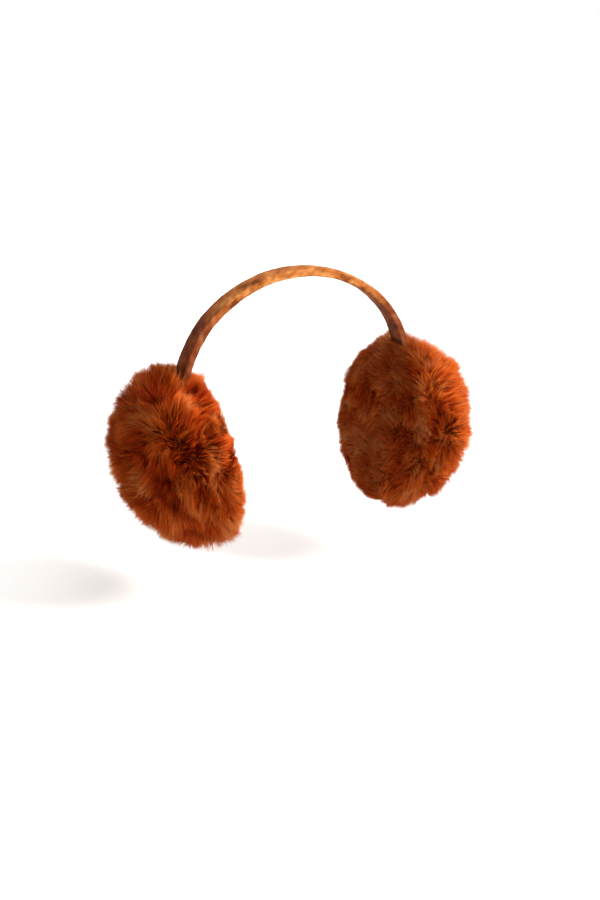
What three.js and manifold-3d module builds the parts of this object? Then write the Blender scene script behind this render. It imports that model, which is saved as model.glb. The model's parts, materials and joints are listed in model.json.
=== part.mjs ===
// Fur earmuffs, held open as they are worn: a velvet-covered sprung headband over the crown of the
// head and two domed pads of deep fur over the ears.
// Millimetres, +Z up, +X from ear to ear, front at -Y. Left and right are as seen from the front.
// The origin is the middle of the headband's inner face, where it rests on the crown.
import * as THREE from "three";
import { mergeVertices } from "three/addons/utils/BufferGeometryUtils.js";
import Module from "manifold-3d";

const wasm = await Module();
wasm.setup();

// Headband: half an ellipse, whose two ends curl in a little further, inside the pads.
const BAND_WIDTH = 15.4;
const BAND_THICKNESS = 5.7;
const BAND_CORNER = 1.9;
const BAND_HALF_SPAN = 87.3; // from the middle plane to the centreline at its widest
const BAND_RISE = 78; // from there up to the centreline's top
const BAND_DIP = THREE.MathUtils.degToRad(24); // how far past the widest point each end curls in
const BAND_STEPS = 48;
const BAND_CENTRE_Z = BAND_THICKNESS / 2 - BAND_RISE;

// Pads: a round dome of fur with a flat face against the ear.
const PAD_RADIUS = 64;
const PAD_DOME = 57.5; // from the widest section out to the dome's top
const PAD_BACK = 15.5; // from the widest section in to the flat face
const PAD_FACE_RADIUS = 49; // the flat part of that face
const PAD_OFFSET_X = 81; // the middle of the widest section
const PAD_OFFSET_Z = -117;
const PAD_LEAN = THREE.MathUtils.degToRad(9.1); // the lower edge leans in, towards the neck
const PAD_SIDES = 48;
const PAD_DOME_ROWS = 16;
const PAD_RIM_ROWS = 6;

const GAP = 0.35; // between the band's ends and the slots that hold them

// The fur's larger tufts and partings. around: degrees about the pad's axis, 0 at the top and 90 at
// the front. out: degrees from the dome's top, 90 at the widest section. spread: degrees.
// rise: millimetres outwards, less than 0 for a parting.
const LEFT_TUFTS = [
  { around: -16, out: 70, spread: 21, rise: 5.2 },
  { around: 8, out: 82, spread: 9, rise: -2.6 },
  { around: 28, out: 62, spread: 22, rise: 2.2 },
  { around: 68, out: 84, spread: 20, rise: 2.4 },
  { around: 104, out: 60, spread: 20, rise: 2.6 },
  { around: 132, out: 86, spread: 18, rise: 2.8 },
  { around: 158, out: 84, spread: 7, rise: -3.2 },
  { around: 184, out: 80, spread: 18, rise: 2.2 },
  { around: 222, out: 84, spread: 20, rise: 2.6 },
  { around: 262, out: 76, spread: 22, rise: 2.2 },
  { around: 300, out: 88, spread: 16, rise: 1.8 },
  { around: 60, out: 30, spread: 13, rise: -3.0 },
  { around: 170, out: 34, spread: 14, rise: -2.4 },
  { around: 250, out: 36, spread: 15, rise: -1.8 },
  { around: 330, out: 40, spread: 18, rise: 2.0 },
];
const RIGHT_TUFTS = [
  { around: -14, out: 84, spread: 18, rise: 2.6 },
  { around: 28, out: 70, spread: 19, rise: 4.2 },
  { around: 56, out: 88, spread: 12, rise: -1.8 },
  { around: 82, out: 70, spread: 20, rise: 2.2 },
  { around: 118, out: 84, spread: 18, rise: 2.6 },
  { around: 148, out: 58, spread: 18, rise: 1.4 },
  { around: 176, out: 84, spread: 16, rise: 1.2 },
  { around: 204, out: 88, spread: 9, rise: -2.4 },
  { around: 236, out: 80, spread: 22, rise: 2.2 },
  { around: 284, out: 82, spread: 22, rise: 2.4 },
  { around: 320, out: 60, spread: 18, rise: 1.8 },
  { around: 96, out: 32, spread: 14, rise: -2.6 },
  { around: 210, out: 36, spread: 15, rise: -2.2 },
  { around: 336, out: 28, spread: 14, rise: -1.8 },
];

const velvet = new THREE.MeshStandardMaterial({ color: 0x9a4a2a, roughness: 0.9, metalness: 0 });
const fur = new THREE.MeshStandardMaterial({ color: 0x8f3812, roughness: 1, metalness: 0 });

// The headband's centreline, from the left end over the crown to the right end.
class BandArc extends THREE.Curve {
  constructor(dip) {
    super();
    this.dip = dip;
  }
  getPoint(t, target = new THREE.Vector3()) {
    const angle = t * (Math.PI + 2 * this.dip) - this.dip;
    const x = -BAND_HALF_SPAN * Math.cos(angle);
    return target.set(x, 0, BAND_CENTRE_Z + BAND_RISE * Math.sin(angle));
  }
}

// A rectangle with round corners, grown outwards on every side.
function bandSection(grow) {
  const w = BAND_WIDTH / 2 + grow;
  const t = BAND_THICKNESS / 2 + grow;
  const r = BAND_CORNER + grow;
  const section = new THREE.Shape();
  section.moveTo(r - w, -t);
  section.lineTo(w - r, -t);
  section.absarc(w - r, r - t, r, -Math.PI / 2, 0);
  section.lineTo(w, t - r);
  section.absarc(w - r, t - r, r, 0, Math.PI / 2);
  section.lineTo(r - w, t);
  section.absarc(r - w, t - r, r, Math.PI / 2, Math.PI);
  section.lineTo(-w, r - t);
  section.absarc(r - w, r - t, r, Math.PI, 1.5 * Math.PI);
  return section;
}

function bandGeometry(grow) {
  return new THREE.ExtrudeGeometry(bandSection(grow), {
    extrudePath: new BandArc(BAND_DIP + grow / BAND_RISE),
    steps: BAND_STEPS,
    curveSegments: 3,
    bevelEnabled: false,
  });
}

// The pad's half section: x is the radius and y is along the axis, away from the ear.
function padProfile() {
  const profile = [new THREE.Vector2(0, -PAD_BACK), new THREE.Vector2(PAD_FACE_RADIUS / 2, -PAD_BACK)];
  const rim = PAD_RADIUS - PAD_FACE_RADIUS;
  for (let row = 0; row < PAD_RIM_ROWS; row++) {
    const angle = (row / PAD_RIM_ROWS) * (Math.PI / 2);
    profile.push(
      new THREE.Vector2(PAD_FACE_RADIUS + rim * Math.sin(angle), -PAD_BACK * Math.cos(angle)),
    );
  }
  for (let row = 0; row <= PAD_DOME_ROWS; row++) {
    const angle = (row / PAD_DOME_ROWS) * (Math.PI / 2);
    const radius = row < PAD_DOME_ROWS ? PAD_RADIUS * Math.cos(angle) : 0;
    profile.push(new THREE.Vector2(radius, PAD_DOME * Math.sin(angle)));
  }
  return profile;
}

// A direction in the pad's frame: +Y out from the ear, +Z up, and the front at +X or -X.
function padDirection(around, out, front) {
  const a = THREE.MathUtils.degToRad(around);
  const o = THREE.MathUtils.degToRad(out);
  return new THREE.Vector3(front * Math.sin(a) * Math.sin(o), Math.cos(o), Math.cos(a) * Math.sin(o));
}

// Raises the tufts and presses in the partings. The flat face stays flat.
function shapeFur(geometry, tufts, front) {
  const heads = tufts.map(({ around, out, spread, rise }) => ({
    direction: padDirection(around, out, front),
    spread: THREE.MathUtils.degToRad(spread),
    rise,
  }));
  const position = geometry.getAttribute("position");
  const point = new THREE.Vector3();
  for (let i = 0; i < position.count; i++) {
    point.fromBufferAttribute(position, i);
    const away = point.clone().normalize();
    const free = THREE.MathUtils.smoothstep(point.y, -PAD_BACK, 0);
    let rise = 0;
    for (const head of heads) {
      rise += head.rise * Math.exp(-((away.angleTo(head.direction) / head.spread) ** 2));
    }
    point.addScaledVector(away, rise * free);
    position.setXYZ(i, point.x, point.y, point.z);
  }
  return geometry;
}

function solidOf(geometry) {
  const bare = geometry.clone();
  bare.deleteAttribute("normal");
  bare.deleteAttribute("uv");
  const merged = mergeVertices(bare, 1e-3);
  return new wasm.Manifold(
    new wasm.Mesh({
      numProp: 3,
      vertProperties: new Float32Array(merged.getAttribute("position").array),
      triVerts: new Uint32Array(merged.getIndex().array),
    }),
  );
}

function geometryOf(solid) {
  const { vertProperties, triVerts } = solid.getMesh();
  const geometry = new THREE.BufferGeometry();
  geometry.setAttribute("position", new THREE.BufferAttribute(vertProperties, 3));
  geometry.setIndex(new THREE.BufferAttribute(triVerts, 1));
  geometry.computeVertexNormals();
  return geometry;
}

// side is -1 for the left pad and 1 for the right one.
function padMesh(name, side, tufts) {
  const geometry = shapeFur(new THREE.LatheGeometry(padProfile(), PAD_SIDES), tufts, side);
  const place = new THREE.Matrix4()
    .makeTranslation(side * PAD_OFFSET_X, 0, PAD_OFFSET_Z)
    .multiply(new THREE.Matrix4().makeRotationY(side * PAD_LEAN))
    .multiply(new THREE.Matrix4().makeRotationZ((-side * Math.PI) / 2));
  const dome = solidOf(geometry.applyMatrix4(place));
  const slot = solidOf(bandGeometry(GAP));
  const mesh = new THREE.Mesh(geometryOf(dome.subtract(slot)), fur);
  mesh.name = name;
  return mesh;
}

const headband = new THREE.Mesh(bandGeometry(0), velvet);
headband.name = "headband";

const earmuffs = new THREE.Group();
earmuffs.add(headband);
earmuffs.add(padMesh("ear_pad_left", -1, LEFT_TUFTS));
earmuffs.add(padMesh("ear_pad_right", 1, RIGHT_TUFTS));

export default earmuffs;
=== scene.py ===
"""Fur earmuffs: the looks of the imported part. A velvet-covered headband and two pads of deep plush fur,
whose pile is made strand by strand. Metres, +Z up, +X from ear to ear, front at -Y."""

import json
import math

import bmesh
import bpy
import numpy as np
from mathutils import Matrix, Vector
from mathutils.bvhtree import BVHTree
from mathutils.kdtree import KDTree


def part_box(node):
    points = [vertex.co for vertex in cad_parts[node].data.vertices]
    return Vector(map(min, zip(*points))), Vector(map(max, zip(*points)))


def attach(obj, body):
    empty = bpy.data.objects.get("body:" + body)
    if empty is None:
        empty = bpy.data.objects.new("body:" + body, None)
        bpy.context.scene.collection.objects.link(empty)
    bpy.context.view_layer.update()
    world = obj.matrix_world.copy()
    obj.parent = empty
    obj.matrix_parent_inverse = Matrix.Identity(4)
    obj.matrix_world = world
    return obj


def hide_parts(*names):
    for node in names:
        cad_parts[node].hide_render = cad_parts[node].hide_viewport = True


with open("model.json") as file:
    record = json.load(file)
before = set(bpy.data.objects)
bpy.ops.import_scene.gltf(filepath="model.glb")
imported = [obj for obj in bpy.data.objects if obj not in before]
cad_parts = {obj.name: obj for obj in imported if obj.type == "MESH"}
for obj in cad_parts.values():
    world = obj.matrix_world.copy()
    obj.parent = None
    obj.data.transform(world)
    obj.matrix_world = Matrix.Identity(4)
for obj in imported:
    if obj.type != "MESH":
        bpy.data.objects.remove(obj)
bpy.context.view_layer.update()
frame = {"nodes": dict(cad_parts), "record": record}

MM = 0.001

# The camera's place round the object, and its lens.
VIEW_AZIMUTH = math.radians(28.2)  # from straight ahead towards the left pad
VIEW_ELEVATION = math.radians(20.2)
VIEW_ROLL = math.radians(0.5)
VIEW_DISTANCE = 0.894
VIEW_TARGET = Vector((0.0035, 0.0, -0.1268))
LENS = 50.0
SENSOR = 36.0

# The studio: a pale floor, a broad key light from the camera's right, and a white room that is brightest
# on the same side.
FLOOR_Z = -0.219
FLOOR_SIZE = 80
FLOOR_GLOW = 0.10
KEY_FROM = Vector((0.90, -0.62, 0.80))
KEY_STRENGTH = 4.8
KEY_SOFTNESS = math.radians(22)
BRIGHT_SIDE = Vector((0.85, -0.05, 0.52))
DARK_FROM = -0.8  # the cosine, from the bright side, at which the room's light ends
WORLD_STRENGTH = (0.0, 1.65)
WORLD_SEEN = 1.02  # how bright the room looks to the camera itself

# The headband's centreline and section, and the pads' depth.
BAND_RISE = 78 * MM
BAND_DIP = math.radians(24)  # how far both its ends run on below the ellipse's middle
BAND_SQUARENESS = 0.3  # 1 is a round section and 0 a sharp rectangle
PAD_BACK = 15.5 * MM  # from the pad's flat face to its widest section

# The velvet cover's relief.
COVER_STEPS = 420
COVER_SIDES = 56
CROWN_OUTSIDE = 0.55 * MM  # how far its faces bulge
CROWN_INSIDE = 0.2 * MM
SEAM_DEPTH = 0.55 * MM
SEAM_WIDTH = 0.6 * MM
SWELL = 0.05 * MM  # the broad unevenness, then the puckers, and the fine creases between them
SWELL_SIZE = 34 * MM
PUCKER = 0.10 * MM
PUCKER_SIZE = 7.5 * MM
EDGE_PUCKER = 0.08 * MM
CREASE = 0.05 * MM
CREASE_SIZE = 3.2 * MM
RELIEF_WAVES = 28
TUCK_DEPTH = 0.22 * MM  # the fold along each edge, and its place and width in the band's thickness
TUCK_PLACE = -1.1 * MM
TUCK_WIDTH = 0.45 * MM

# The velvet's colour: a painted shade that darkens it down the band, a painted light along its sides, and
# its crush marks. These run aslant: CRUSH_SLANT turns a place along, across and out of the band, and draws
# the marks out.
VELVET_PAINTED_DARK_BELOW = -85 * MM  # painted shade: the velvet is darkest where it goes into the pads
VELVET_PAINTED_LIGHT_ABOVE = -5 * MM
VELVET_EDGE_PAINTED_LIGHT = 0.30  # painted light: how much lighter the velvet is along the band's front and back sides
CRUSH_SLANT = np.array(((0.4, -0.77, 0), (0.32, 0.64, 0), (0, 0, 1.0)))
CRUSH_PATCH = 17 * MM
CRUSH_STREAK = 6.5 * MM
LIE_MIDDLE = 0.49  # how the velvet's pile lies, from 0, dark, to 1, light, and what changes it
LIE_PATCH = 0.07
LIE_STREAK = 0.08
# painted light: the lie is also made lighter along the band's sides
LIE_EDGE_PAINTED_LIGHT = 0.06
VELVET_GRAIN_SCALE = 330
VELVET_NAP_SCALE = 2600

# The cushions under the fur, and the slots in them for the band's ends.
CUSHION_DETAIL = 5  # how often the sphere that they start from is divided
CUSHION_DEPTH = 0.8  # how much of the pile's depth lies over the cushion
CUSHION_LUMP = 0.35 * MM
CUSHION_LUMP_SIZE = 14 * MM
SLOT_GAP = 0.6 * MM
SLOT_STEPS = 60
SLOT_SIDES = 16
BACKING_MOTTLE_SCALE = 260
BACKING_GRAIN_SCALE = 900

# The pile. Its depth is the measure for all heights and leans of the hair below.
PILE_DEEP = 17 * MM  # on the dome
PILE_SHORT = 6 * MM  # against the ear, where the head presses it flat
ROOT_DEPTH = 1.04
MIDDLE_RISE = 0.62  # of the tip's rise
MIDDLE_LEAN = 0.22
TIP_LEAN = 0.92

# How the hair leans along the surface: away from a whorl, in waves of three sizes, and down.
WHORL_LEAN = 0.55
WHORL_CALM = (0.02, 0.4)  # near the whorl this lean fades out: the sines of the angles from it
LEAN_WAVES = ((52 * MM, 0.44), (21 * MM, 0.36), (10 * MM, 0.18))
SAG = np.array((0, 0, -0.14))
MOST_LEAN = 1.25
DOME_LEAN = 0.8
EAR_LEAN = 0.5  # how much more the pressed hair leans

# The layers of hair: how many hairs and clumps, how much shorter than the pile is deep, how strongly a
# clump draws together, and the least and greatest radius in millimetres.
GUARD_HAIR = {"hairs": 19900, "clumps": 5200, "short": 0.0, "clumping": 0.72, "radius": (0.17, 0.27)}
UNDER_HAIR = {"hairs": 49700, "clumps": 7000, "short": 0.06, "clumping": 0.6, "radius": (0.15, 0.25)}
FINE_HAIR = {"hairs": 16000, "clumps": 9000, "short": -0.03, "clumping": 0.4, "radius": (0.07, 0.13)}
GUARD_TAPER = 0.95  # a guard hair's radius at its middle, against that at its root
UNDER_START = 0.8  # of the way from the root to the middle
FINE_START = 0.15  # of the way from the middle to the tip
FINE_LIGHTER = 0.22
DRAW_RANGE = (0.75, 1.1)  # how differently the hairs of a clump are drawn to its tip
TUFTS = 260
TUFTING = 0.22  # how strongly a tuft draws its clumps together
CLUMP_SPREAD = 1.3 * MM  # how far the tips of clumps, and the hairs' own tips and middles, stray
TIP_SPREAD = 0.45 * MM
MIDDLE_SPREAD = 0.35 * MM

# What makes the hair taller or shorter.
HEIGHT_WAVE = 0.055
HEIGHT_WAVE_SIZE = 17 * MM
HEIGHT_WAVE_LIMIT = 1.5
CLUMP_HEIGHT = 0.06  # the usual difference between clumps, then their least and greatest
CLUMP_HEIGHTS = (-0.12, 0.09)
TUFT_HEIGHT = 0.06
TUFT_HEIGHTS = (-0.13, 0.08)
HAIR_SHORTEST = 0.22  # how much single hairs stay short, at most
OPEN_SINK = 0.15  # in the open pile beside a parting
PARTING_SINK = 0.22  # and in the parting itself
BAND_RUFF = 0.2  # the hair stands taller round the band's ends
BAND_RUFF_REACH = 11 * MM
HAIR_GAP = 0.6 * MM  # between the band and the hair's upper half
MIDDLE_GAP = 0.5 * MM

# Its tone, from 0, dark, to 1, light. Painted shade makes the hair darker in partings, in the open pile
# beside them and where it is shorter.
TONE_MIDDLE = 0.52
TONE_WAVE = 0.13
TONE_WAVE_SIZE = 24 * MM
TONE_CLUMP = 0.09
TONE_HAIR = 0.13
TONE_PARTING_PAINTED_SHADE = 0.20
TONE_OPEN_PAINTED_SHADE = 0.12
TONE_HEIGHT_PAINTED_SHADE = 0.6
TONE_FULL_HEIGHT = 0.95
TONE_LOWEST = 0.02
TONE_HIGHEST = 0.98
TONE_ROUND_HAIR = 0.006  # how far the tone changes from side to side of one hair

# How a parting pushes the hair aside, and how many of its own widths the push and the open pile reach.
PARTING_PUSH = 0.6
PARTING_CALM = 0.6  # how much of the hair's other lean it takes away
PARTING_REACH = 0.5
OPEN_REACH = 2.0
PARTING_STEPS = 9  # places along a parting's line

# Colours by tone and by the place along the hair, then by the velvet's lie and its painted shade. Each
# stop has its place and its colour.
FUR_TONES = (
    (0.0, (0.130, 0.0035, 0.0001)),
    (0.3, (0.350, 0.0250, 0.0004)),
    (0.6, (0.500, 0.0820, 0.0060)),
    (0.8, (0.530, 0.1250, 0.0230)),
    (1.0, (0.560, 0.2000, 0.0600)),
)
# Painted along each hair: a painted shade darkening it towards the root, deep in the pile, and a painted
# highlight that makes its tip paler and pinker.
FUR_ALONG_PAINTED_SHADE_AND_HIGHLIGHT = (
    (0.0, (0.10, 0.03, 0.01)),
    (0.45, (0.52, 0.36, 0.22)),
    (0.8, (1.00, 1.00, 1.00)),
    (1.0, (1.02, 1.45, 2.20)),
)

VELVET_TONES = (
    (0.36, (0.150, 0.027, 0.006)),
    (0.45, (0.310, 0.070, 0.020)),
    (0.55, (0.460, 0.122, 0.040)),
    (0.66, (0.620, 0.225, 0.105)),
)

# Painted shade and light on the velvet: dark where it goes into the pads, light at the top and along its
# sides.
VELVET_PAINTED_SHADE = (
    (0.0, (0.13, 0.06, 0.01)),
    (0.5, (0.33, 0.26, 0.20)),
    (0.85, (0.43, 0.38, 0.34)),
    (1.0, (0.80, 0.98, 0.64)),
)

# Places on a pad are two angles in degrees: about the pad's axis, with 0 at the top and 90 at the front,
# and away from the dome's top. The pile lies away from the whorl. A parting is a line where the pile
# falls apart and sinks, and where its hair and the open pile beside it are painted darker as shade: its
# two ends, how far to each side the hair leans away, and how strongly.
LEFT_WHORL = (60, 60)
RIGHT_WHORL = (82, 88)
LEFT_PARTINGS = (
    {"start": (54, 77), "end": (67, 71), "width": 4 * MM, "force": 1.5},
    {"start": (26, 34), "end": (50, 42), "width": 6 * MM, "force": 1.1},
    {"start": (60, 47), "end": (74, 53), "width": 5 * MM, "force": 1.3},
    {"start": (82, 40), "end": (99, 54), "width": 6 * MM, "force": 1.8},
    {"start": (99, 54), "end": (101, 64), "width": 5 * MM, "force": 1.5},
    {"start": (114, 62), "end": (125, 72), "width": 6 * MM, "force": 1.8},
    {"start": (88, 72), "end": (94, 79), "width": 4 * MM, "force": 1.2},
    {"start": (22, 86), "end": (6, 66), "width": 5 * MM, "force": 1.3},
    {"start": (132, 58), "end": (143, 80), "width": 4 * MM, "force": 1.3},
    {"start": (76, 98), "end": (84, 89), "width": 4 * MM, "force": 0.9},
    {"start": (236, 10), "end": (262, 52), "width": 7 * MM, "force": 1.0},
    {"start": (200, 30), "end": (170, 58), "width": 5 * MM, "force": 1.2},
    {"start": (300, 50), "end": (330, 72), "width": 5 * MM, "force": 1.1},
    {"start": (214, 68), "end": (204, 94), "width": 5 * MM, "force": 1.1},
)
RIGHT_PARTINGS = (
    {"start": (79, 86), "end": (86, 92), "width": 4 * MM, "force": 0.8},
    {"start": (120, 66), "end": (134, 74), "width": 4 * MM, "force": 0.8},
    {"start": (52, 62), "end": (60, 72), "width": 4 * MM, "force": 0.7},
    {"start": (200, 26), "end": (160, 52), "width": 5 * MM, "force": 1.1},
    {"start": (300, 36), "end": (340, 60), "width": 6 * MM, "force": 1.0},
    {"start": (206, 80), "end": (202, 96), "width": 4 * MM, "force": 1.1},
)


def unit(v):
    return v / np.maximum(np.linalg.norm(v, axis=-1, keepdims=True), 1e-12)


def smooth_step(low, high, x):
    t = np.clip((x - low) / (high - low), 0, 1)
    return t * t * (3 - 2 * t)


class Waves:
    """Smooth noise in space: a sum of sine waves that run in random directions."""

    def __init__(self, rng, size, channels, count=20):
        self.wave = unit(rng.normal(size=(count, 3))) * (2 * math.pi / size)
        self.wave *= rng.uniform(0.6, 1.4, (count, 1))
        self.phase = rng.uniform(0, 2 * math.pi, (channels, count))
        self.gain = rng.normal(size=(channels, count)) * math.sqrt(2 / count)

    def __call__(self, points):
        angle = points @ self.wave.T
        return np.stack(
            [(np.sin(angle + p) * g).sum(1) for p, g in zip(self.phase, self.gain)], 1
        )


def nearest(points, seeds):
    tree = KDTree(len(seeds))
    for i, seed in enumerate(seeds):
        tree.insert(seed, i)
    tree.balance()
    return np.array([tree.find(p)[1] for p in points])


# ---------------------------------------------------------------- the frame


def node_arrays(node):
    mesh = frame["nodes"][node].data
    mesh.calc_loop_triangles()
    points = np.empty(len(mesh.vertices) * 3, np.float32)
    mesh.vertices.foreach_get("co", points)
    faces = np.empty(len(mesh.loop_triangles) * 3, np.int32)
    mesh.loop_triangles.foreach_get("vertices", faces)
    return points.reshape(-1, 3).astype(float), faces.reshape(-1, 3)


def welded(points, faces):
    """The same triangles with the vertices that lie in one place made one."""
    keys = np.round(points / (0.001 * MM)).astype(np.int64)
    _, first, index = np.unique(keys, axis=0, return_index=True, return_inverse=True)
    return points[first], index.reshape(-1)[faces]


class Band:
    """The headband's measures: half an ellipse that curls in a little at both ends."""

    def __init__(self):
        low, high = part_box("headband")
        self.thickness = high.z
        self.width = high.y - low.y
        self.half_span = high.x - self.thickness / 2
        self.centre_z = self.thickness / 2 - BAND_RISE
        self.end_z = low.z

    def polar(self, points):
        """The distance of each point from the centreline, outwards, and its place across the width."""
        x = points[..., 0] / self.half_span
        z = (points[..., 2] - self.centre_z) / BAND_RISE
        reach = np.hypot(x, z)
        radius = np.hypot(points[..., 0], points[..., 2] - self.centre_z)
        return radius * (1 - 1 / np.maximum(reach, 1e-9)), points[..., 1]

    def angle(self, points):
        """The place along the band: 0 where its left side is level with the ellipse's middle."""
        x, z = points[..., 0] / self.half_span, (points[..., 2] - self.centre_z) / BAND_RISE
        angle = np.arctan2(z, -x)
        return np.where(angle < -math.pi / 2, angle + 2 * math.pi, angle)

    def near(self, points, reach):
        """1 at the band, falling off to 0 with the distance from it."""
        out, across = self.polar(points)
        gap = np.hypot(
            np.maximum(np.abs(out) - self.thickness / 2, 0),
            np.maximum(np.abs(across) - self.width / 2, 0),
        )
        return np.exp(-((gap / reach) ** 2))

    def holds(self, points, margin):
        out, across = self.polar(points)
        return (
            (np.abs(out) < self.thickness / 2 + margin)
            & (np.abs(across) < self.width / 2 + margin)
            & (points[..., 2] > self.end_z - margin)
        )


band = Band()


class Pad:
    """One ear pad's outer form, read from its CAD node, in a frame of its own: outward, front, up."""

    def __init__(self, side):
        self.side = side
        self.node = "ear_pad_" + side
        mount = next(m for m in frame["record"]["mounts"] if m["name"] == "ear_" + side)
        self.outward = unit(-np.array(mount["axis"], float))
        self.centre = np.array(mount["pos_m"], float) + self.outward * PAD_BACK
        self.front = np.array((0.0, -1.0, 0.0))
        up = np.array((0.0, 0.0, 1.0))
        self.up = unit(up - (up @ self.outward) * self.outward)
        points, faces = welded(*node_arrays(self.node))
        middle = points[faces].mean(1)
        faces = faces[~band.holds(middle, 0.5 * MM)]
        worn, faces = np.unique(faces, return_inverse=True)
        points, faces = points[worn], faces.reshape(-1, 3)
        corner = points[faces]
        cross = np.cross(corner[:, 1] - corner[:, 0], corner[:, 2] - corner[:, 0])
        normal = np.zeros_like(points)
        for k in range(3):
            np.add.at(normal, faces[:, k], cross)
        self.points, self.faces, self.normals = points, faces, unit(normal)
        self.area = np.linalg.norm(cross, axis=1) / 2
        self.tree = BVHTree.FromPolygons(points.tolist(), faces.tolist())

    def direction(self, around, away):
        """The direction from the pad's centre to a place given by its two angles in degrees."""
        turn = math.radians(around)
        tilt = math.radians(away)
        across = math.cos(turn) * self.up + math.sin(turn) * self.front
        return math.cos(tilt) * self.outward + math.sin(tilt) * across

    def scatter(self, rng, count):
        """Random places on the outer form, and its normal there."""
        face = rng.choice(len(self.faces), count, p=self.area / self.area.sum())
        first, second = rng.random((2, count))
        root = np.sqrt(first)
        share = np.stack([1 - root, root * (1 - second), root * second], 1)[..., None]
        corners = self.faces[face]
        points = (self.points[corners] * share).sum(1)
        return points, unit((self.normals[corners] * share).sum(1))

    def outward_of(self, points):
        return (points - self.centre) @ self.outward

    def pile(self, points):
        """How deep the fur is at these places on the outer form, and how free of the ear's press."""
        free = smooth_step(-PAD_BACK, 0.15 * PAD_BACK, self.outward_of(points))
        return PILE_SHORT + (PILE_DEEP - PILE_SHORT) * free, free

    def surface_at(self, directions):
        """The outer form's place and normal in these directions from the pad's centre."""
        centre = Vector(self.centre)
        points, normals = np.empty_like(directions), np.empty_like(directions)
        for i, direction in enumerate(directions):
            place, _, face, _ = self.tree.ray_cast(centre, Vector(direction))
            if place is None:
                points[i] = self.over_the_slot(direction)
                normals[i] = direction
            else:
                corners = self.faces[face]
                gap = np.linalg.norm(self.points[corners] - np.array(place), axis=1)
                share = 1 / (gap + 0.1 * MM)
                points[i] = place
                normals[i] = share @ self.normals[corners]
        return points, unit(normals)

    def over_the_slot(self, direction):
        """The place in a direction that leaves through the mouth of the band's slot, from what is near."""
        spokes = self.points - self.centre
        near = np.argsort(-(unit(spokes) @ direction))[:6]
        return self.centre + direction * np.linalg.norm(spokes[near], axis=1).mean()


# ---------------------------------------------------------------- the fur


def part_line(pad, parting):
    """Points along a parting, on the outer form."""
    start = np.array(parting["start"])
    step = np.array(parting["end"]) - start
    step[0] = (step[0] + 180) % 360 - 180  # the short way round
    shares = np.linspace(0, 1, PARTING_STEPS)
    ways = np.array([pad.direction(*(start + step * share)) for share in shares])
    return pad.surface_at(ways)[0]


class Combing:
    """How the pile of one pad lies: a lean along the surface, and how high the hair stands."""

    def __init__(self, pad, partings, whorl, rng):
        self.whorl = pad.direction(*whorl)
        self.partings = [(part_line(pad, p), p["width"], p["force"]) for p in partings]
        self.waves = [(Waves(rng, size, 3), share) for size, share in LEAN_WAVES]
        self.height = Waves(rng, HEIGHT_WAVE_SIZE, 1)
        self.tone = Waves(rng, TONE_WAVE_SIZE, 1)

    def beside_partings(self, points):
        """For each parting: the way from it to the points, how many widths off they are, its force."""
        row = np.arange(len(points))
        for line, width, force in self.partings:
            gap = points[:, None] - line[None]
            distance = np.linalg.norm(gap, axis=2)
            closest = distance.argmin(1)
            yield unit(gap[row, closest]), distance[row, closest] / width, force

    def parted(self, points):
        """Which way the partings push the hair, and how strongly."""
        away = np.zeros_like(points)
        share = np.zeros(len(points))
        for way, widths, force in self.beside_partings(points):
            push = np.exp(-((widths / PARTING_REACH) ** 2)) * PARTING_PUSH * force
            away += way * push[:, None]
            share = np.maximum(share, push)
        return away, share

    def opened(self, points):
        """How far the pile lies open beside the partings, from 0 to 1."""
        share = np.zeros(len(points))
        for _, widths, force in self.beside_partings(points):
            share = np.maximum(share, np.exp(-((widths / OPEN_REACH) ** 2)) * min(force, 1))
        return share

    def lean(self, points, normals, free):
        from_whorl = (normals @ self.whorl)[:, None] * normals - self.whorl
        slope = np.linalg.norm(from_whorl, axis=1, keepdims=True)
        lean = WHORL_LEAN * unit(from_whorl) * smooth_step(*WHORL_CALM, slope)
        for waves, share in self.waves:
            lean += share * waves(points)
        lean += SAG
        away, parted = self.parted(points)
        lean = lean * (1 - PARTING_CALM * np.clip(parted, 0, 1))[:, None] + away
        lean -= (lean * normals).sum(1, keepdims=True) * normals
        size = np.linalg.norm(lean, axis=1, keepdims=True)
        lean *= np.minimum(1, MOST_LEAN / np.maximum(size, 1e-9))
        return lean * (DOME_LEAN + EAR_LEAN * (1 - free))[:, None], parted


def grow(pad, combing, points, normals, height):
    """Root, middle and tip of hairs that start under these places on the outer form, and how strongly
    each is parted."""
    depth, free = pad.pile(points)
    lean, parted = combing.lean(points, normals, free)
    rise = depth * height * (1 - PARTING_SINK * parted)
    root = points - normals * (depth * ROOT_DEPTH)[:, None]
    middle = root + normals * (MIDDLE_RISE * rise)[:, None] + lean * (MIDDLE_LEAN * depth)[:, None]
    tip = root + normals * rise[:, None] + lean * (TIP_LEAN * depth)[:, None]
    return root, middle, tip, parted


def pull(own, shared, amount):
    return own + (shared - own) * np.reshape(amount, (-1, 1))


def gather(tips, shared, normals, amount):
    """Draws tips together along the surface, and leaves each at its own height."""
    rise = ((tips - shared) * normals).sum(1, keepdims=True) * normals
    return pull(tips, shared + rise, amount)


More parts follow.
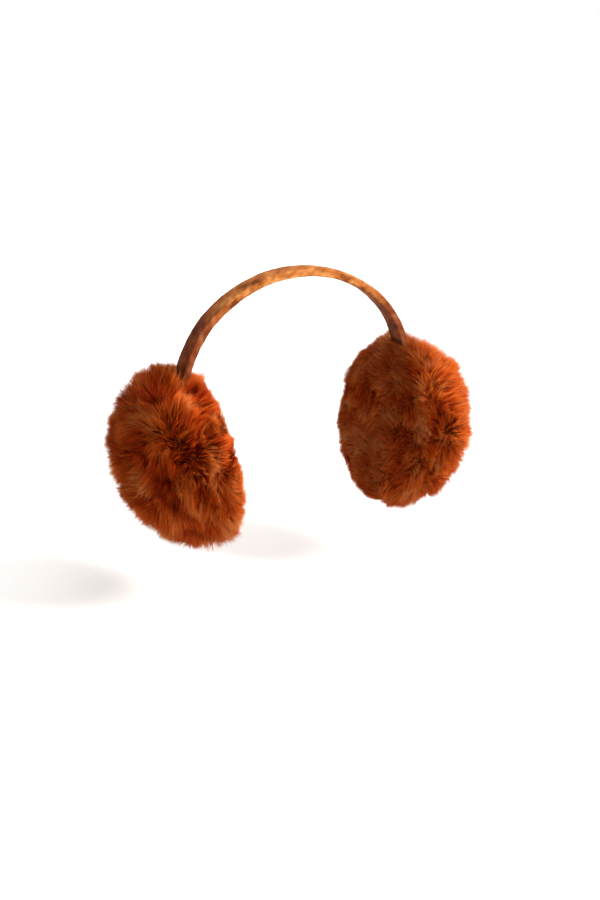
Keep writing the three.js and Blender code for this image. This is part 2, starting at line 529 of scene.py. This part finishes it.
def fur_strands(pad, combing, rng, layer):
    """Hairs in clumps and the clumps in tufts, so that the tips draw together and gaps open between."""
    count = layer["hairs"]
    clumps = layer["clumps"]
    full = 1.0 - layer["short"]
    points, normals = pad.scatter(rng, count)
    clump_points, clump_normals = pad.scatter(rng, clumps)
    tuft_points, tuft_normals = pad.scatter(rng, TUFTS)
    clump = nearest(points, clump_points)
    tuft = nearest(points, tuft_points)
    clump_height = np.clip(rng.normal(0, CLUMP_HEIGHT, clumps), *CLUMP_HEIGHTS)
    tuft_height = np.clip(rng.normal(0, TUFT_HEIGHT, TUFTS), *TUFT_HEIGHTS)
    wave = np.clip(combing.height(points)[:, 0], -HEIGHT_WAVE_LIMIT, HEIGHT_WAVE_LIMIT)
    opened = combing.opened(points)
    height = (
        full
        + HEIGHT_WAVE * wave
        + clump_height[clump]
        + tuft_height[tuft]
        - HAIR_SHORTEST * rng.random(count) ** 2
        - OPEN_SINK * opened
        + BAND_RUFF * band.near(points, BAND_RUFF_REACH)
    )
    root, middle, tip, parted = grow(pad, combing, points, normals, height)
    _, clump_middle, clump_tip, _ = grow(
        pad, combing, clump_points, clump_normals, np.full(clumps, full)
    )
    clump_tip += rng.normal(0, CLUMP_SPREAD, (clumps, 3))
    _, _, tuft_tip, _ = grow(pad, combing, tuft_points, tuft_normals, np.full(TUFTS, full))
    draw = layer["clumping"] * rng.uniform(*DRAW_RANGE, count)
    tip = gather(tip, clump_tip[clump], normals, draw)
    tip = gather(tip, tuft_tip[tuft], normals, TUFTING)
    tip += rng.normal(0, TIP_SPREAD, (count, 3))
    middle = pull(middle, clump_middle[clump], draw / 4)
    middle += rng.normal(0, MIDDLE_SPREAD, (count, 3))
    tone = (
        TONE_MIDDLE
        + TONE_WAVE * combing.tone(points)[:, 0]
        + rng.normal(0, TONE_CLUMP, clumps)[clump]
        + rng.normal(0, TONE_HAIR, count)
        # Painted shade: hair in partings, in the open pile beside them and shorter hair is darker.
        - TONE_PARTING_PAINTED_SHADE * np.clip(parted, 0, 1)
        - TONE_OPEN_PAINTED_SHADE * opened
        + TONE_HEIGHT_PAINTED_SHADE * (height - TONE_FULL_HEIGHT)
    )
    clear = ~(
        band.holds(tip, HAIR_GAP)
        | band.holds(middle, MIDDLE_GAP)
        | band.holds((tip + middle) / 2, HAIR_GAP)
    )
    return root[clear], middle[clear], tip[clear], np.clip(tone, TONE_LOWEST, TONE_HIGHEST)[clear]


def turns_and_radii(rng, layer, count):
    """How the hairs are turned about their length, and their radii."""
    turn = rng.normal(size=(count, 3))
    return turn, rng.uniform(*layer["radius"], count) * MM


def ring_of(centre, way, turn, radius):
    """Three points round each strand."""
    side = unit(np.cross(way, turn))
    other = np.cross(way, side)
    rows = []
    for angle in (0, 2 * math.pi / 3, 4 * math.pi / 3):
        rows.append(centre + (math.cos(angle) * side + math.sin(angle) * other) * radius[:, None])
    return np.stack(rows, 1)


def strand_mesh(name, rings, tip, tone, alongs, material):
    """Closed three-sided strands: rings from the root up, then a point. alongs has a value from 0, the
    root, to 1, the tip, for each ring and for the point."""
    count, levels = len(tip), len(rings)
    stride = 3 * levels + 1
    points = np.concatenate([*rings, tip[:, None]], 1).reshape(-1, 3)
    faces = [(0, 2, 1)]
    for level in range(levels - 1):
        for k in range(3):
            a, b = 3 * level + k, 3 * level + (k + 1) % 3
            faces += [(a, b, b + 3), (a, b + 3, a + 3)]
    top = 3 * (levels - 1)
    faces += [(top + k, top + (k + 1) % 3, 3 * levels) for k in range(3)]
    pattern = np.array(faces, np.int32)
    corners = (pattern[None] + stride * np.arange(count, dtype=np.int32)[:, None, None]).ravel()
    along = np.tile(np.array([*np.repeat(alongs[:-1], 3), alongs[-1]], np.float32), count)
    tones = np.repeat(tone.astype(np.float32), stride)
    mesh = bpy.data.meshes.new(name)
    mesh.vertices.add(len(points))
    mesh.vertices.foreach_set("co", points.astype(np.float32).ravel())
    mesh.loops.add(len(corners))
    mesh.loops.foreach_set("vertex_index", corners)
    mesh.polygons.add(len(corners) // 3)
    mesh.polygons.foreach_set("loop_start", np.arange(0, len(corners), 3, dtype=np.int32))
    mesh.polygons.foreach_set("use_smooth", np.ones(len(corners) // 3, bool))
    for key, values in (("tone", tones), ("along", along)):
        mesh.attributes.new(key, "FLOAT", "POINT").data.foreach_set("value", values)
    # The map holds the tone across and the place along the hair upwards, which is all its colour needs.
    beside = np.tile(np.array([*np.tile((-1, 0, 1), levels), 0], np.float32), count)
    across = np.clip(tones + TONE_ROUND_HAIR * beside, 0, 1)
    uv = np.stack([across[corners], along[corners] * 0.98 + 0.01], 1)
    mesh.uv_layers.new(name="OFBake").uv.foreach_set("vector", uv.ravel())
    mesh.update()
    mesh.validate()
    piece = bpy.data.objects.new(name, mesh)
    bpy.context.scene.collection.objects.link(piece)
    mesh.materials.append(material)
    return piece


def guard_hair(pad, combing, rng, material):
    root, middle, tip, tone = fur_strands(pad, combing, rng, GUARD_HAIR)
    turn, radius = turns_and_radii(rng, GUARD_HAIR, len(tip))
    rings = [
        ring_of(root, unit(middle - root), turn, radius),
        ring_of(middle, unit(tip - root), turn, radius * GUARD_TAPER),
    ]
    return strand_mesh(f"fur_{pad.side}_guard", rings, tip, tone, (0.0, 0.55, 1.0), material)


def under_hair(pad, combing, rng, material):
    """Shorter hairs, of which only the upper part is made, since the guard hair hides the rest."""
    root, middle, tip, tone = fur_strands(pad, combing, rng, UNDER_HAIR)
    turn, radius = turns_and_radii(rng, UNDER_HAIR, len(tip))
    start = root + (middle - root) * UNDER_START
    rings = [ring_of(start, unit(tip - start), turn, radius)]
    return strand_mesh(f"fur_{pad.side}_under", rings, tip, tone, (0.35, 1.0), material)


def fine_hair(pad, combing, rng, material):
    """Thin light hairs that stand a little above the rest."""
    _, middle, tip, tone = fur_strands(pad, combing, rng, FINE_HAIR)
    turn, radius = turns_and_radii(rng, FINE_HAIR, len(tip))
    start = middle + (tip - middle) * FINE_START
    rings = [ring_of(start, unit(tip - start), turn, radius)]
    tone = np.clip(tone + FINE_LIGHTER, 0, TONE_HIGHEST)
    return strand_mesh(f"fur_{pad.side}_fine", rings, tip, tone, (0.6, 1.0), material)


def ico_directions(subdivisions):
    shape = bmesh.new()
    bmesh.ops.create_icosphere(shape, subdivisions=subdivisions, radius=1)
    ways = np.array([v.co for v in shape.verts])
    faces = [[v.index for v in f.verts] for f in shape.faces]
    shape.free()
    return ways, faces


def mesh_piece(name, points, faces, material):
    mesh = bpy.data.meshes.new(name)
    mesh.from_pydata(points.tolist(), [], faces)
    mesh.polygons.foreach_set("use_smooth", np.ones(len(faces), bool))
    mesh.materials.append(material)
    piece = bpy.data.objects.new(name, mesh)
    bpy.context.scene.collection.objects.link(piece)
    return piece


def cut_slot(piece, cutter):
    """Cuts one closed mesh out of another for good."""
    cut = piece.modifiers.new("slot", "BOOLEAN")
    cut.operation = "DIFFERENCE"
    cut.solver = "EXACT"
    cut.object = cutter
    graph = bpy.context.evaluated_depsgraph_get()
    made = bpy.data.meshes.new_from_object(piece.evaluated_get(graph))
    made.materials.clear()
    made.materials.append(piece.data.materials[0])
    piece.modifiers.clear()
    piece.data = made
    bpy.data.objects.remove(cutter)


def pad_cushion(pad, rng, material):
    """The stuffed cushion under the pile, whose roots it holds."""
    ways, faces = ico_directions(CUSHION_DETAIL)
    points, normals = pad.surface_at(ways)
    depth, _ = pad.pile(points)
    lumps = Waves(rng, CUSHION_LUMP_SIZE, 1)(points)[:, 0] * CUSHION_LUMP
    slant = np.maximum((normals * ways).sum(1), 0.5)
    points = points - ways * ((CUSHION_DEPTH * depth - lumps) / slant)[:, None]
    piece = mesh_piece(f"pad_{pad.side}_cushion", points, faces, material)
    cut_slot(piece, mesh_piece("slot", *band_tube(SLOT_GAP, SLOT_STEPS, SLOT_SIDES), material))
    return piece


# ---------------------------------------------------------------- the headband


def band_tube(grow, steps, sides, shape=None):
    """Points and faces of a closed tube along the headband. shape changes the section's points: it takes
    the place along the band, the angle round the section, and how far out and across each point lies."""
    stretch = 1 + grow / BAND_RISE
    angle = np.linspace(-BAND_DIP * stretch, math.pi + BAND_DIP * stretch, steps + 1)
    turn = np.arange(sides) * (2 * math.pi / sides)
    along, turn = np.meshgrid(angle, turn, indexing="ij")
    out = squared(np.sin(turn)) * (band.thickness / 2 + grow)
    across = squared(np.cos(turn)) * (band.width / 2 + grow)
    if shape:
        out, across = shape(along, turn, out, across)
    x = -band.half_span * np.cos(along)
    z = band.centre_z + BAND_RISE * np.sin(along)
    normal_x = -np.cos(along) / band.half_span
    normal_z = np.sin(along) / BAND_RISE
    size = np.hypot(normal_x, normal_z)
    points = np.stack([x + out * normal_x / size, across, z + out * normal_z / size], 2)
    points = points.reshape(-1, 3)
    faces = []
    for i in range(steps):
        for j in range(sides):
            first = i * sides + j
            second = i * sides + (j + 1) % sides
            faces.append((first, first + sides, second + sides, second))
    faces.append(tuple(range(sides)))
    faces.append(tuple(range(steps * sides, (steps + 1) * sides))[::-1])
    return points, faces


def squared(wave):
    """Turns a circle's sine or cosine into that of a rectangle with round corners."""
    return np.sign(wave) * np.abs(wave) ** BAND_SQUARENESS


def headband_cover(rng, material):
    """Velvet drawn over the padded spring: crowned faces, a soft fold along each edge, a seam inside and
    small puckers that run in from the folds."""
    broad = Waves(rng, SWELL_SIZE, 2)
    pucker = Waves(rng, PUCKER_SIZE, 2, RELIEF_WAVES)
    crease = Waves(rng, CREASE_SIZE, 1, RELIEF_WAVES)

    def shape(along, turn, out, across):
        distance = along * (band.half_span + BAND_RISE) / 2
        edge = np.abs(across) / (band.width / 2)
        outer = smooth_step(0.2, 1.0, np.sin(turn))
        inner = smooth_step(0.2, 1.0, -np.sin(turn))
        place = np.stack([distance, across * 0.35, out * 0.5], 2).reshape(-1, 3)
        wide = broad(place).reshape(*along.shape, 2)
        fold = pucker(place).reshape(*along.shape, 2)
        fine = crease(place).reshape(along.shape)
        crown = (CROWN_OUTSIDE * outer + CROWN_INSIDE * inner) * (1 - edge**2)
        seam = SEAM_DEPTH * np.exp(-((across / SEAM_WIDTH) ** 2)) * inner
        wrinkle = (PUCKER * fold[..., 0] + CREASE * fine) * (0.3 + 0.7 * edge**2)
        out = out + crown - seam + np.sign(out) * wrinkle + SWELL * wide[..., 0]
        side = smooth_step(0.35, 1.0, np.abs(np.cos(turn)))
        tuck = TUCK_DEPTH * np.exp(-(((out - TUCK_PLACE) / TUCK_WIDTH) ** 2)) * side
        across = across + np.sign(across) * (EDGE_PUCKER * fold[..., 1] * side - tuck)
        return out, across + SWELL * wide[..., 1]

    piece = mesh_piece("headband_cover", *band_tube(0, COVER_STEPS, COVER_SIDES, shape), material)
    place = np.array([v.co for v in piece.data.vertices])
    out, across = band.polar(place)
    edge = smooth_step(0.86, 0.98, np.abs(across) / (band.width / 2))
    # Painted shade, darker down the band towards the pads, and painted light along its front and back
    # sides.
    shade = smooth_step(VELVET_PAINTED_DARK_BELOW, VELVET_PAINTED_LIGHT_ABOVE, place[:, 2])
    shade += VELVET_EDGE_PAINTED_LIGHT * edge * (1 - shade)
    distance = band.angle(place) * (band.half_span + BAND_RISE) / 2
    laid = np.stack([distance, across, 1.5 * out], 1)
    patch = Waves(rng, CRUSH_PATCH, 1)(laid)[:, 0]
    streak = Waves(rng, CRUSH_STREAK, 1)(laid @ CRUSH_SLANT)[:, 0]
    # The lie is lighter along the band's sides too, a painted light.
    lie = LIE_MIDDLE + LIE_PATCH * patch + LIE_STREAK * streak + LIE_EDGE_PAINTED_LIGHT * edge
    for name, values in (("shade", shade), ("lie", lie)):
        piece.data.attributes.new(name, "FLOAT", "POINT").data.foreach_set("value", values)
    return piece


# ---------------------------------------------------------------- materials


def new_material(name):
    material = bpy.data.materials.new(name)
    material.use_nodes = True
    tree = material.node_tree
    return material, tree, tree.nodes["Principled BSDF"]


def ramp(tree, source, stops):
    node = tree.nodes.new("ShaderNodeValToRGB")
    elements = node.color_ramp.elements
    while len(elements) < len(stops):
        elements.new(0.5)
    for element, (place, colour) in zip(elements, stops):
        element.position = place
        element.color = (*colour, 1)
    tree.links.new(source, node.inputs["Fac"])
    return node.outputs["Color"]


def attribute(tree, name):
    node = tree.nodes.new("ShaderNodeAttribute")
    node.attribute_name = name
    return node.outputs["Fac"]


def multiply(tree, first, second):
    node = tree.nodes.new("ShaderNodeMix")
    node.data_type = "RGBA"
    node.blend_type = "MULTIPLY"
    node.inputs["Factor"].default_value = 1
    tree.links.new(first, node.inputs["A"])
    tree.links.new(second, node.inputs["B"])
    return node.outputs["Result"]


def blend_values(tree, first, second, share):
    node = tree.nodes.new("ShaderNodeMix")
    node.inputs["Factor"].default_value = share
    tree.links.new(first, node.inputs["A"])
    tree.links.new(second, node.inputs["B"])
    return node.outputs["Result"]


def noise(tree, place, scale, detail, rough=0.5, distortion=0.0):
    node = tree.nodes.new("ShaderNodeTexNoise")
    node.inputs["Scale"].default_value = scale
    node.inputs["Detail"].default_value = detail
    node.inputs["Roughness"].default_value = rough
    node.inputs["Distortion"].default_value = distortion
    tree.links.new(place, node.inputs["Vector"])
    return node.outputs["Fac"]


def object_place(tree):
    return tree.nodes.new("ShaderNodeTexCoord").outputs["Object"]


def fur_material():
    material, tree, shader = new_material("rust_fur_strands")
    tone = ramp(tree, attribute(tree, "tone"), FUR_TONES)
    # The ramp along the hair paints shade towards its root and a highlight at its tip.
    along = ramp(tree, attribute(tree, "along"), FUR_ALONG_PAINTED_SHADE_AND_HIGHLIGHT)
    tree.links.new(multiply(tree, tone, along), shader.inputs["Base Color"])
    shader.inputs["Roughness"].default_value = 0.6
    shader.inputs["Specular IOR Level"].default_value = 0.02
    shader.inputs["Sheen Weight"].default_value = 0.04
    shader.inputs["Sheen Roughness"].default_value = 0.5
    shader.inputs["Sheen Tint"].default_value = (1.0, 0.3, 0.1, 1)
    return material


def velvet_material():
    """Crushed velvet: patches where the pile lies one way or the other, plum to orange, and a fine nap."""
    material, tree, shader = new_material("rust_velvet_cover")
    place = object_place(tree)
    grain = noise(tree, place, VELVET_GRAIN_SCALE, 3, 0.6, 0.6)
    nap = noise(tree, place, VELVET_NAP_SCALE, 2, 0.6)
    lie = blend_values(tree, attribute(tree, "lie"), grain, 0.30)
    lie = blend_values(tree, lie, nap, 0.15)
    # The shade attribute carries the painted shade and painted light of the band.
    painted_shade = ramp(tree, attribute(tree, "shade"), VELVET_PAINTED_SHADE)
    colour = multiply(tree, ramp(tree, lie, VELVET_TONES), painted_shade)
    tree.links.new(colour, shader.inputs["Base Color"])
    shader.inputs["Roughness"].default_value = 0.78
    shader.inputs["Specular IOR Level"].default_value = 0.08
    shader.inputs["Sheen Weight"].default_value = 0.08
    shader.inputs["Sheen Roughness"].default_value = 0.35
    shader.inputs["Sheen Tint"].default_value = (1.0, 0.52, 0.28, 1)
    bump = tree.nodes.new("ShaderNodeBump")
    bump.inputs["Strength"].default_value = 0.55
    bump.inputs["Distance"].default_value = 0.5 * MM
    tree.links.new(blend_values(tree, grain, nap, 0.5), bump.inputs["Height"])
    tree.links.new(bump.outputs["Normal"], shader.inputs["Normal"])
    return material


def backing_material():
    material, tree, shader = new_material("rust_fur_backing")
    place = object_place(tree)
    colour = ramp(
        tree,
        noise(tree, place, BACKING_MOTTLE_SCALE, 4, 0.6),
        ((0.3, (0.060, 0.006, 0.001)), (0.7, (0.180, 0.022, 0.002))),
    )
    tree.links.new(colour, shader.inputs["Base Color"])
    shader.inputs["Roughness"].default_value = 0.95
    shader.inputs["Specular IOR Level"].default_value = 0.02
    bump = tree.nodes.new("ShaderNodeBump")
    bump.inputs["Strength"].default_value = 0.6
    bump.inputs["Distance"].default_value = 0.8 * MM
    tree.links.new(noise(tree, place, BACKING_GRAIN_SCALE, 3), bump.inputs["Height"])
    tree.links.new(bump.outputs["Normal"], shader.inputs["Normal"])
    return material


# ---------------------------------------------------------------- the scene


def make_camera():
    camera = bpy.data.objects.new("camera", bpy.data.cameras.new("camera"))
    bpy.context.scene.collection.objects.link(camera)
    camera.data.lens = LENS
    camera.data.sensor_width = SENSOR
    camera.data.clip_start = 0.05
    camera.data.clip_end = 20
    back = Vector(
        (
            -math.sin(VIEW_AZIMUTH) * math.cos(VIEW_ELEVATION),
            -math.cos(VIEW_AZIMUTH) * math.cos(VIEW_ELEVATION),
            math.sin(VIEW_ELEVATION),
        )
    )
    right = Vector((math.cos(VIEW_AZIMUTH), -math.sin(VIEW_AZIMUTH), 0))
    up = back.cross(right)
    turned_right = math.cos(VIEW_ROLL) * right + math.sin(VIEW_ROLL) * up
    turned_up = math.cos(VIEW_ROLL) * up - math.sin(VIEW_ROLL) * right
    axes = Matrix((turned_right, turned_up, back)).transposed()
    camera.matrix_world = Matrix.Translation(VIEW_TARGET + back * VIEW_DISTANCE) @ axes.to_4x4()
    bpy.context.scene.camera = camera


def make_world():
    """A white studio whose light comes mostly from one side."""
    world = bpy.data.worlds.new("studio")
    bpy.context.scene.world = world
    world.use_nodes = True
    tree = world.node_tree
    side = tree.nodes.new("ShaderNodeVectorMath")
    side.operation = "DOT_PRODUCT"
    side.inputs[1].default_value = BRIGHT_SIDE.normalized()
    tree.links.new(tree.nodes.new("ShaderNodeTexCoord").outputs["Generated"], side.inputs[0])
    strength = tree.nodes.new("ShaderNodeMapRange")
    strength.interpolation_type = "SMOOTHSTEP"
    strength.inputs["From Min"].default_value = DARK_FROM
    strength.inputs["To Min"].default_value, strength.inputs["To Max"].default_value = WORLD_STRENGTH
    tree.links.new(side.outputs["Value"], strength.inputs["Value"])
    seen = tree.nodes.new("ShaderNodeMix")
    seen.inputs["B"].default_value = WORLD_SEEN
    tree.links.new(tree.nodes.new("ShaderNodeLightPath").outputs["Is Camera Ray"], seen.inputs["Factor"])
    tree.links.new(strength.outputs["Result"], seen.inputs["A"])
    background = tree.nodes["Background"]
    background.inputs["Color"].default_value = (1.0, 0.99, 0.98, 1)
    tree.links.new(seen.outputs["Result"], background.inputs["Strength"])


def make_stage():
    bpy.ops.mesh.primitive_plane_add(size=FLOOR_SIZE, location=(0, 0, FLOOR_Z))
    floor = bpy.context.object
    floor.name = "floor"
    material, _, shader = new_material("floor_paper")
    shader.inputs["Base Color"].default_value = (0.93, 0.915, 0.90, 1)
    shader.inputs["Roughness"].default_value = 0.9
    shader.inputs["Specular IOR Level"].default_value = 0.2
    shader.inputs["Emission Color"].default_value = (1.0, 0.98, 0.96, 1)
    shader.inputs["Emission Strength"].default_value = FLOOR_GLOW
    floor.data.materials.append(material)
    sun = bpy.data.lights.new("key", "SUN")
    sun.energy = KEY_STRENGTH
    sun.angle = KEY_SOFTNESS
    sun.color = (1.0, 0.97, 0.93)
    lamp = bpy.data.objects.new("key", sun)
    bpy.context.scene.collection.objects.link(lamp)
    lamp.rotation_euler = KEY_FROM.to_track_quat("Z", "Y").to_euler()
    bpy.context.scene.view_settings.view_transform = "Standard"


make_camera()
make_world()
make_stage()

cover = headband_cover(np.random.default_rng(7), velvet_material())
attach(cover, "root")
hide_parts("headband")

fur = fur_material()
backing = backing_material()
for side, partings, whorl, seed in (
    ("left", LEFT_PARTINGS, LEFT_WHORL, 11),
    ("right", RIGHT_PARTINGS, RIGHT_WHORL, 23),
):
    rng = np.random.default_rng(seed)
    pad = Pad(side)
    combing = Combing(pad, partings, whorl, rng)
    pieces = [
        pad_cushion(pad, rng, backing),
        guard_hair(pad, combing, rng, fur),
        under_hair(pad, combing, rng, fur),
        fine_hair(pad, combing, rng, fur),
    ]
    for piece in pieces:
        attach(piece, "root")
        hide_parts(pad.node)
